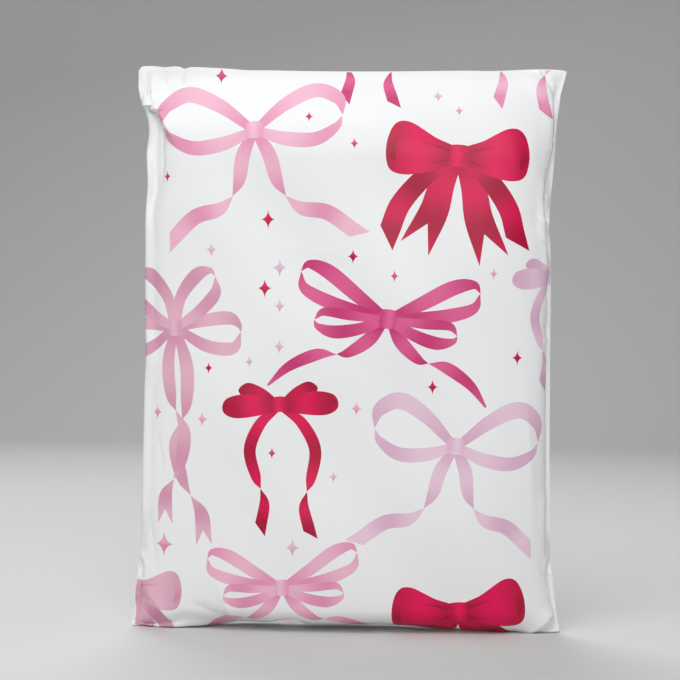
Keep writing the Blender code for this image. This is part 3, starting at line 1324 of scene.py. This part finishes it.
        u, w = flat[:, 0], flat[:, 1]
        v = np.where(w <= film.flap, film.length - w, np.where(w <= start, film.length - 2 * film.flap + w, start + top - w))
        place, normal = self._on_film(self.back, u, v)
        inside = (w > film.flap + 1e-7) & (w < start - 1e-7)
        wave = 0.65 + 0.35 * np.cos(u * 71.0 + 1.0) * np.cos(u * 23.0)
        loose_share = smooth_step((film.length - film.adhesive - v) / loose + 0.0)
        raised = film.gauge + 2.2 * film.gauge * smooth_step(w / 0.006) + self.lift * wave * loose_share
        lifted = film.gauge + (raised - 3.2 * film.gauge) * np.clip((start - w) / loose, 0, 1)
        offset = np.where(w <= film.flap + 1e-7, raised, np.where(inside, lifted, film.gauge))
        edge = np.minimum(u, film.width - u)
        taper = np.clip(np.minimum(edge, np.where(w > start, total - w, np.minimum(w, 1.0))) / 0.0015, 0.0, 1.0)
        loose_part = (w > film.adhesive + 1e-7) & (w < start - 1e-7)
        beside = smooth_step(edge / 0.012)
        held = np.where(inside, 0.00030, 0.00066)
        offset = np.where(loose_part, held + (offset - held) * beside, offset)
        place += normal * (offset * taper)[:, None]
        normal = np.where(inside[:, None], -normal, normal)
        return (
            {"flat": flat, "place": place, "normal": normal, "triangles": triangles, "colours": colours, "inked": inked},
            runs,
        )

    def _stitch(self, front: dict[str, np.ndarray], back: dict[str, np.ndarray], runs: np.ndarray) -> bpy.types.Mesh:
        """Joins the two sheets along the welds and folds into one closed mesh.

        Args:
            front: The front sheet.
            back: The back sheet with the flap.
            runs: The heights of the back sheet's edge points.

        Returns:
            The bag's mesh, with its print as a corner colour.
        """
        film = self.film
        loose = film.flap - film.adhesive
        start = film.flap + loose
        total = runs[-1]
        offset = len(front["flat"])
        where = {}
        heights = self._edge_heights()

        def key(u: float, v: float, layer: int) -> tuple[int, int, int]:
            """Names a point of the border by its column and its row."""
            return (round(u / film.width * self.columns), int(np.abs(heights - v).argmin()), layer)

        merged = np.arange(offset + len(back["flat"]))
        for k, (u, v) in enumerate(front["flat"]):
            if min(u, film.width - u) < 1e-7 or min(v, film.length - v) < 1e-7:
                where[key(u, v, 0)] = k
        for k, (u, w) in enumerate(back["flat"]):
            at_side = min(u, film.width - u) < 1e-7
            if w <= film.adhesive + 1e-7 and (at_side or w < 1e-7):
                merged[offset + k] = where[key(u, film.length - w, 0)]
            elif w >= start - 1e-7 and (at_side or total - w < 1e-7):
                merged[offset + k] = where[key(u, total - w, 0)]
            elif at_side and w <= film.flap + 1e-7:
                where[key(u, w, 1)] = offset + k
        for k, (u, w) in enumerate(back["flat"]):
            at_side = min(u, film.width - u) < 1e-7
            if at_side and film.flap + 1e-7 < w < start - 1e-7:
                merged[offset + k] = where[key(u, 2 * film.flap - w, 1)]

        places = np.vstack([front["place"], back["place"]])
        normals = np.vstack([front["normal"], back["normal"]])
        triangles = np.vstack([front["triangles"], back["triangles"] + offset])
        corner_normals = normals[triangles]
        triangles = merged[triangles]
        colours = np.concatenate([front["colours"], back["colours"]])
        inked = np.concatenate([front["inked"], back["inked"]])
        _, same, times = np.unique(np.sort(triangles, axis=1), axis=0, return_inverse=True, return_counts=True)
        good = times[same.ravel()] == 1
        for first, second in ((0, 1), (1, 2), (2, 0)):
            good &= triangles[:, first] != triangles[:, second]
        triangles, colours, inked, corner_normals = triangles[good], colours[good], inked[good], corner_normals[good]
        used, triangles = np.unique(triangles, return_inverse=True)
        triangles = triangles.reshape(-1, 3)
        places = places[used]

        mesh = bpy.data.meshes.new("poly_mailer")
        mesh.vertices.add(len(places))
        mesh.vertices.foreach_set("co", places.astype(np.float32).ravel())
        mesh.loops.add(len(triangles) * 3)
        mesh.loops.foreach_set("vertex_index", triangles.astype(np.int32).ravel())
        mesh.polygons.add(len(triangles))
        mesh.polygons.foreach_set("loop_start", np.arange(0, len(triangles) * 3, 3, dtype=np.int32))
        mesh.update(calc_edges=True)
        mesh.validate()
        layer = mesh.color_attributes.new("print", "FLOAT_COLOR", "CORNER")
        rgba = np.concatenate([colours, inked[..., None]], -1)
        layer.data.foreach_set("color", rgba.astype(np.float32).ravel())
        mesh.shade_smooth()
        mesh.normals_split_custom_set([tuple(n) for n in corner_normals.reshape(-1, 3)])
        log.info("bag mesh: %d triangles", len(triangles))
        return mesh


# ----------------------------------------------------------------------------- the studio


@dataclass
class Studio:
    """A plain pale floor with soft light, and a camera level with the bag's middle."""

    distance: float = 0.910
    camera_height: float = 0.1707
    lens: float = 81.5
    roll: float = 0.75
    yaw: float = 1.2

    def build(self) -> None:
        """Makes the floor, the lights and the camera."""
        self._floor()
        self._lights()
        self._camera()
        scene = bpy.context.scene
        scene.view_settings.view_transform = "Standard"

    def _floor(self) -> None:
        """A sweep: a floor that curves up into a wall behind the bag."""
        profile = [(-5.0, 0.0), (1.6, 0.0)]
        radius = 0.5
        for k in range(1, 13):
            angle = math.pi / 2 * k / 12
            profile.append((1.6 + radius * math.sin(angle), radius * (1 - math.cos(angle))))
        profile.append((2.1, 3.0))
        verts = [(x, y, z) for y, z in profile for x in (-5.0, 5.0)]
        faces = [(2 * k, 2 * k + 1, 2 * k + 3, 2 * k + 2) for k in range(len(profile) - 1)]
        mesh = bpy.data.meshes.new("studio_floor")
        mesh.from_pydata(verts, [], faces)
        mesh.shade_smooth()
        mesh.materials.append(PlainFinish("pale_floor", (0.60, 0.60, 0.59)).material())
        floor = bpy.data.objects.new("studio_floor", mesh)
        bpy.context.scene.collection.objects.link(floor)

    def _lights(self) -> None:
        """A large softbox above the front, a weaker one low in front, and an even room."""
        self._softbox("key", (-0.30, -0.85, 1.45), (0.0, 0.0, 0.20), 1.1, 15.0)
        self._softbox("fill", (0.3, -2.4, 0.95), (0.0, 0.0, 0.15), 1.3, 17.5)
        self._softbox("behind", (-0.3, 0.95, 1.55), (0.0, 0.0, 0.20), 1.0, 17.0)
        world = bpy.data.worlds.new("studio")
        world.use_nodes = True
        background = world.node_tree.nodes["Background"]
        background.inputs["Color"].default_value = (0.86, 0.89, 0.92, 1.0)
        background.inputs["Strength"].default_value = 0.26
        bpy.context.scene.world = world

    def _softbox(self, name: str, place: tuple[float, ...], target: tuple[float, ...], size: float, power: float) -> None:
        """Adds a square softbox that faces a point."""
        data = bpy.data.lights.new(name, "AREA")
        data.shape = "SQUARE"
        data.size = size
        data.energy = power
        light = bpy.data.objects.new(name, data)
        light.location = place
        light.rotation_euler = (Vector(target) - Vector(place)).to_track_quat("-Z", "Y").to_euler()
        bpy.context.scene.collection.objects.link(light)

    def _camera(self) -> None:
        """A level camera in front of the bag, very slightly rolled and round to its right."""
        data = bpy.data.cameras.new("camera")
        data.lens = self.lens
        data.sensor_width = 36.0
        camera = bpy.data.objects.new("camera", data)
        angle = math.radians(self.yaw)
        aim = Vector((-0.0050, 0.0, self.camera_height))
        away = Vector((math.sin(angle), -math.cos(angle), 0.0)) * self.distance
        look = (-away).to_track_quat("-Z", "Y").to_matrix()
        camera.matrix_world = Matrix.Translation(aim + away) @ (look @ Matrix.Rotation(math.radians(self.roll), 3, "Z")).to_4x4()
        bpy.context.scene.collection.objects.link(camera)
        bpy.context.scene.camera = camera


def main() -> None:
    """Builds the bag and its studio."""
    logging.basicConfig(level=logging.INFO, format="%(name)s: %(message)s")
    MailerBag().build()
    log.info("bag built")
    Studio().build()
    log.info("studio built")


if __name__ == "__main__":
    main()
